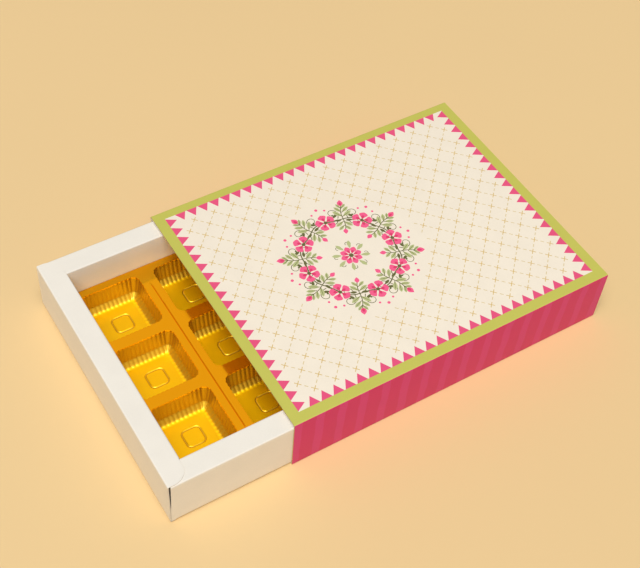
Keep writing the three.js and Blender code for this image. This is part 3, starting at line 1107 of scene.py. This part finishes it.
def cavity_profile(insert):
    """(inset, inset on the front side, height, share of the full flute) from the lip down to the floor."""
    in_share = math.sin(math.radians(SLOPE_TURN))
    down_share = math.cos(math.radians(SLOPE_TURN))
    floor = -insert.depth
    foot = Vector((
        insert.lean + SLOPE_HEAD * (1.0 - down_share) + insert.slope * in_share + SLOPE_FOOT * down_share,
        floor + SLOPE_FOOT,
    ))
    head = Vector((
        insert.lean + SLOPE_HEAD,
        floor + SLOPE_FOOT * (1.0 - in_share) + insert.slope * down_share + SLOPE_HEAD * in_share,
    ))
    above = rounded(head, SLOPE_HEAD, 180.0, 180.0 + SLOPE_TURN, SLOPE_STEPS)
    below = rounded(foot, SLOPE_FOOT, 180.0 + SLOPE_TURN, 270.0, SLOPE_STEPS)
    between = [above[-1].lerp(below[0], step / SLOPE_STEPS) for step in range(1, SLOPE_STEPS)]
    outline = above + between + below
    profile = [(0.0, 0.0, 0.0, 1.0)]
    for index, (inset, height) in enumerate(outline):
        drop = max(0.0, insert.front_fillet - (height - floor))
        front = insert.lean + insert.front_fillet - math.sqrt(insert.front_fillet ** 2 - drop ** 2)
        profile.append((inset, front, height, 1.0 + (FLUTE_END - 1.0) * index / (len(outline) - 1)))
    profile.append((inset + FLOOR_MARGIN, front + FLOOR_MARGIN, floor, 0.0))
    return profile


def cavity_ring(insert, inset, front, share):
    """A level line of the cavity's wall: round ribs that stand inwards, with sharp valleys between them."""
    half = 0.5 * insert.cavity
    reach = (half - inset, half - front, half - inset, half - inset)
    radius = max(insert.corner - CORNER_SHRINK * inset, LEAST_CORNER)
    ring = rounded_ring(reach, radius, half_run(half, insert.corner), RING_POINTS)
    points = []
    for index, (point, normal, room) in enumerate(ring):
        rib = abs(math.sin(math.pi * insert.flutes * index / RING_POINTS))
        points.append(point + normal * insert.flute_depth * share * room * (0.5 - rib))
    return points


def cavity_motif(insert):
    """One fluted cavity, its opening centred on the origin and its lip at height 0."""
    vertices, faces = [], []

    def add_ring(points, height):
        first = len(vertices)
        vertices.extend((point.x, point.y, height) for point in points)
        return first

    def bridge(outer, inner, count):
        for index in range(count):
            following = (index + 1) % count
            faces.append((outer + index, outer + following, inner + following, inner + index))

    rings = [
        add_ring(cavity_ring(insert, inset, front, share), height)
        for inset, front, height, share in cavity_profile(insert)
    ]
    for outer, inner in zip(rings, rings[1:]):
        bridge(outer, inner, RING_POINTS)

    # The foot's pressed outline, with fewer points than the floor's ring
    feet = []
    for out, down in FOOT_LINE:
        half, radius = 0.5 * insert.foot + out, FOOT_CORNER + out
        ring = rounded_ring((half,) * 4, radius, half_run(half, radius), FOOT_POINTS)
        feet.append(add_ring([point for point, _, _ in ring], -insert.depth - down * insert.foot_depth))
    floor = rings[-1]
    ratio = RING_POINTS // FOOT_POINTS
    for index in range(FOOT_POINTS):
        following = (index + 1) % FOOT_POINTS
        for step in range(ratio):
            here = ratio * index + step
            faces.append((floor + here, floor + (here + 1) % RING_POINTS, feet[0] + index))
        faces.append((floor + ratio * following, feet[0] + following, feet[0] + index))
    for outer, inner in zip(feet, feet[1:]):
        bridge(outer, inner, FOOT_POINTS)
    faces.append(tuple(feet[-1] + index for index in range(FOOT_POINTS)))
    return new_mesh("cavity", vertices, faces, [])


def web_mesh(insert, first, pitch):
    """The flat sheet round the cavities, one cell for each, with a pressed groove between the rows."""
    vertices, faces = [], []
    top = INSERT_HIGH.z
    turn = insert.edge - EDGE_REACH
    outer_low, outer_high = INSERT_LOW.xy + Vector((turn, turn)), INSERT_HIGH.xy - Vector((turn, turn))
    groove_low = first.y - 0.5 * insert.cavity
    groove_high = first.y + (insert.columns - 1) * pitch.y + 0.5 * insert.cavity - GROOVE_SHORT
    hole = cavity_ring(insert, 0.0, 0.0, 1.0)
    per_side = RING_POINTS // 4

    def frame_ring(low, high):
        corners = [Vector(corner) for corner in (high, (low.x, high.y), low, (high.x, low.y))]
        return [
            corners[side].lerp(corners[(side + 1) % 4], step / per_side)
            for side in range(4) for step in range(per_side)
        ]

    for row in range(insert.rows):
        for column in range(insert.columns):
            middle = first.xy + Vector((row * pitch.x, column * pitch.y))
            half = Vector((0.5 * pitch.x - GROOVE_HALF, 0.5 * pitch.y))
            low, high = middle - half, middle + half
            if row == 0:
                low.x = outer_low.x
            if row == insert.rows - 1:
                high.x = outer_high.x
            if column == 0:
                low.y = outer_low.y
            if column == insert.columns - 1:
                high.y = outer_high.y
            start = len(vertices)
            vertices += [(middle.x + point.x, middle.y + point.y, top) for point in hole]
            vertices += [(point.x, point.y, top) for point in frame_ring(low, high)]
            for index in range(RING_POINTS):
                here, there = start + index, start + (index + 1) % RING_POINTS
                faces.append((here, there, there + RING_POINTS, here + RING_POINTS))
            if row < insert.rows - 1:
                start = len(vertices)
                run = [low.y + (high.y - low.y) * step / per_side for step in range(per_side + 1)]
                for across in range(3):
                    for y in run:
                        inside = min(y - groove_low, groove_high - y) / GROOVE_TAPER
                        depth = GROOVE_DEPTH * (across == 1) * min(1.0, max(0.0, inside))
                        vertices.append((high.x + across * GROOVE_HALF, y, top - depth))
                for strip in range(2):
                    for step in range(per_side):
                        here = start + strip * (per_side + 1) + step
                        faces.append((here, here + 1, here + per_side + 2, here + per_side + 1))
    return new_mesh("web", vertices, faces, [])


def turn_edge_down(work, insert):
    """Rolls the sheet's open outer edge over and down in a short skirt."""
    middle = 0.5 * (INSERT_LOW + INSERT_HIGH)
    half = 0.5 * (INSERT_HIGH - INSERT_LOW)
    turn = insert.edge - EDGE_REACH
    steps = []
    for step in range(1, EDGE_STEPS + 1):
        angle = 0.5 * math.pi * step / EDGE_STEPS
        steps.append((insert.edge * math.sin(angle), insert.edge * (1.0 - math.cos(angle))))
    steps.append((insert.edge, insert.edge + SKIRT))
    rim = [edge for edge in work.edges if edge.is_boundary]
    for out, down in steps:
        grown = bmesh.ops.extrude_edge_only(work, edges=rim)["geom"]
        rim = [item for item in grown if isinstance(item, bmesh.types.BMEdge)]
        for vertex in (item for item in grown if isinstance(item, bmesh.types.BMVert)):
            for axis in range(2):
                offset = vertex.co[axis] - middle[axis]
                if abs(offset) > half[axis] - turn - MERGE_DISTANCE:
                    vertex.co[axis] = middle[axis] + math.copysign(half[axis] - turn + out, offset)
            vertex.co.z = INSERT_HIGH.z - down


def make_insert(insert):
    """One formed sheet: the cavities by rows and columns, the web round them, and the sheet's thickness."""
    gold = gold_material(insert)
    flange = Vector((insert.end_flange, insert.side_flange))
    room = INSERT_HIGH.xy - INSERT_LOW.xy - 2.0 * flange - Vector((insert.cavity, insert.cavity))
    pitch = Vector((room.x / (insert.rows - 1), room.y / (insert.columns - 1)))
    half = 0.5 * insert.cavity
    first = Vector((INSERT_LOW.x + flange.x + half, INSERT_LOW.y + flange.y + half, INSERT_HIGH.z))
    row = row_repeater()
    shared = {"turn": (0.0, 0.0, 0.0), "material": gold}
    column = repeat(
        cavity_motif(insert), row, count=insert.columns, start=(0.0, 0.0, 0.0), step=(0.0, pitch.y, 0.0),
        **shared,
    )
    cavities = repeat(column, row, count=insert.rows, start=first, step=(pitch.x, 0.0, 0.0), **shared)
    sheet = join_meshes("gold_insert", [cavities, web_mesh(insert, first, pitch)])
    work = bmesh.new()
    work.from_mesh(sheet)
    bmesh.ops.remove_doubles(work, verts=work.verts, dist=MERGE_DISTANCE)
    turn_edge_down(work, insert)
    bmesh.ops.recalc_face_normals(work, faces=work.faces)
    if sum(face.normal.z * face.calc_area() for face in work.faces) < 0.0:
        bmesh.ops.reverse_faces(work, faces=work.faces)
    work.to_mesh(sheet)
    work.free()
    carrier = add_object("sheet", sheet)
    wall = carrier.modifiers.new("thickness", "SOLIDIFY")
    wall.thickness = insert.sheet
    wall.offset = -1.0
    solid = evaluated_mesh(carrier)
    solid.name = "gold_insert"
    smooth(solid, INSERT_SHARP)
    for face in solid.polygons:
        face.use_smooth = abs(face.normal.z) < LEVEL
    add_piece("gold_insert", solid, "tray", ["cavity_insert"])


# Stage

FLOOR_HALF = 3.0
FLOOR_ROUGHNESS = 0.9

# Blotches on the floor, given as those of the board
FLOOR_DRIFT = (3.0, 2.0, 0.2, 0.02)

KEY_SIZE = 4.2
KEY_PLACE = (-1.8, -2.1, 6.2)
SKY_WHITE = (1.0, 0.98, 0.95, 1.0)
SENSOR_WIDTH = 36.0
CLIP_START = 0.01
CLIP_END = 20.0


def make_floor(stage):
    """A pale, slightly uneven floor."""
    paint, tree, shader, place = new_material("floor", FLOOR_ROUGHNESS)
    drift = tree.blotches(place, *FLOOR_DRIFT)
    tree.feed(shader.inputs["Base Color"], tree.mix(drift, tuple(stage.floor), BLACK))
    corners = [(x * FLOOR_HALF, y * FLOOR_HALF, 0.0) for x, y in ((-1, -1), (1, -1), (1, 1), (-1, 1))]
    floor = add_object("floor", new_mesh("floor", corners, [(0, 1, 2, 3)], [paint]))


def make_sky(stage):
    """Faint even light, with the floor's pale colour all round where it is seen or mirrored."""
    world = bpy.data.worlds.new("sky")
    world.use_nodes = True
    tree = Tree(world.node_tree)
    rays = tree.add("ShaderNodeLightPath").outputs
    shown = tree.math("MAXIMUM", rays["Is Camera Ray"], rays["Is Glossy Ray"])
    background = world.node_tree.nodes["Background"].inputs
    tree.feed(background["Color"], tree.mix(shown, SKY_WHITE, tuple(stage.floor)))
    faint = stage.sky_strength
    tree.feed(background["Strength"], tree.math("ADD", faint, tree.math("MULTIPLY", shown, 1.0 - faint)))
    bpy.context.scene.world = world


def make_lamp(stage):
    """A wide square lamp that faces the box."""
    lamp = bpy.data.lights.new("key_softbox", "AREA")
    lamp.shape = "SQUARE"
    lamp.size = KEY_SIZE
    lamp.energy = stage.key_power
    softbox = add_object("key_softbox", lamp)
    softbox.location = KEY_PLACE
    softbox.rotation_euler = Vector(KEY_PLACE).to_track_quat("Z", "Y").to_euler()


def make_camera(stage):
    """Stands the camera near the tray's end, looking down on the box."""
    yaw, pitch, roll = stage.camera_yaw, stage.camera_pitch, stage.camera_roll
    ahead = Vector((math.cos(pitch) * math.cos(yaw), math.cos(pitch) * math.sin(yaw), -math.sin(pitch)))
    level = Vector((math.sin(yaw), -math.cos(yaw), 0.0))
    upright = level.cross(ahead)
    right = math.cos(roll) * level + math.sin(roll) * upright
    up = math.cos(roll) * upright - math.sin(roll) * level
    view = bpy.data.cameras.new("camera")
    view.sensor_fit = "HORIZONTAL"
    view.sensor_width = SENSOR_WIDTH
    view.lens = stage.camera_lens
    view.clip_start = CLIP_START
    view.clip_end = CLIP_END
    camera = add_object("camera", view)
    turn = Matrix((right, up, -ahead)).transposed().to_4x4()
    camera.matrix_world = Matrix.Translation(stage.camera_place) @ turn
    bpy.context.scene.camera = camera


def make_stage(stage):
    """A pale floor, even light, one soft lamp and the camera."""
    bpy.context.scene.view_settings.view_transform = "Standard"
    make_floor(stage)
    make_sky(stage)
    make_lamp(stage)
    make_camera(stage)


# Operators, panel and registration

class DRAWERBOX_OT_stage(bpy.types.Operator):
    """Lay the floor, hang the lamp and set up the camera"""

    bl_idname = "drawer_box.stage"
    bl_label = "Stage"

    def execute(self, context):
        make_stage(context.scene.box_stage)
        return {"FINISHED"}


class DRAWERBOX_OT_sleeve(bpy.types.Operator):
    """Fold the printed sleeve round its glue flap"""

    bl_idname = "drawer_box.sleeve"
    bl_label = "Sleeve"

    def execute(self, context):
        make_sleeve(context.scene.box_sleeve)
        return {"FINISHED"}


class DRAWERBOX_OT_sawtooth(bpy.types.Operator):
    """Print the row of triangles round the top"""

    bl_idname = "drawer_box.sawtooth"
    bl_label = "Sawtooth Edging"

    def execute(self, context):
        make_sawtooth(context.scene.box_sleeve, context.scene.box_top_print)
        return {"FINISHED"}


class DRAWERBOX_OT_lattice(bpy.types.Operator):
    """Print the dashed lattice and its crosses on the top"""

    bl_idname = "drawer_box.lattice"
    bl_label = "Dashed Lattice"

    def execute(self, context):
        make_lattice(context.scene.box_sleeve, context.scene.box_top_print)
        return {"FINISHED"}


class DRAWERBOX_OT_wreath(bpy.types.Operator):
    """Print the flower wreath on the top"""

    bl_idname = "drawer_box.wreath"
    bl_label = "Wreath"

    def execute(self, context):
        make_wreath(context.scene.box_top_print)
        return {"FINISHED"}


class DRAWERBOX_OT_tray(bpy.types.Operator):
    """Fold the white tray with its hollow walls"""

    bl_idname = "drawer_box.tray"
    bl_label = "Tray"

    def execute(self, context):
        make_tray(context.scene.box_tray)
        return {"FINISHED"}


class DRAWERBOX_OT_insert(bpy.types.Operator):
    """Form the gold sheet with its fluted cavities"""

    bl_idname = "drawer_box.insert"
    bl_label = "Cavity Insert"

    def execute(self, context):
        make_insert(context.scene.box_insert)
        return {"FINISHED"}


OPERATORS = (
    DRAWERBOX_OT_stage,
    DRAWERBOX_OT_sleeve,
    DRAWERBOX_OT_sawtooth,
    DRAWERBOX_OT_lattice,
    DRAWERBOX_OT_wreath,
    DRAWERBOX_OT_tray,
    DRAWERBOX_OT_insert,
)


class DRAWERBOX_PT_sidebar(bpy.types.Panel):
    """Lists the pieces of the drawer box"""

    bl_idname = "DRAWERBOX_PT_sidebar"
    bl_label = "Drawer Box"
    bl_space_type = "VIEW_3D"
    bl_region_type = "UI"
    bl_category = "Drawer Box"

    def draw(self, context):
        for operator in OPERATORS:
            self.layout.operator(operator.bl_idname)


SETTINGS = {
    "box_sleeve": SleeveSettings,
    "box_top_print": TopPrintSettings,
    "box_tray": TraySettings,
    "box_insert": InsertSettings,
    "box_stage": StageSettings,
}


def register():
    for name, group in SETTINGS.items():
        bpy.utils.register_class(group)
        setattr(bpy.types.Scene, name, PointerProperty(type=group))
    for operator in OPERATORS:
        bpy.utils.register_class(operator)
    bpy.utils.register_class(DRAWERBOX_PT_sidebar)


def unregister():
    bpy.utils.unregister_class(DRAWERBOX_PT_sidebar)
    for operator in reversed(OPERATORS):
        bpy.utils.unregister_class(operator)
    for name, group in reversed(SETTINGS.items()):
        delattr(bpy.types.Scene, name)
        bpy.utils.unregister_class(group)


def main():
    register()
    bpy.ops.drawer_box.stage()
    bpy.ops.drawer_box.sleeve()
    bpy.ops.drawer_box.sawtooth()
    bpy.ops.drawer_box.lattice()
    bpy.ops.drawer_box.wreath()
    bpy.ops.drawer_box.tray()
    bpy.ops.drawer_box.insert()


if __name__ == "__main__":
    main()
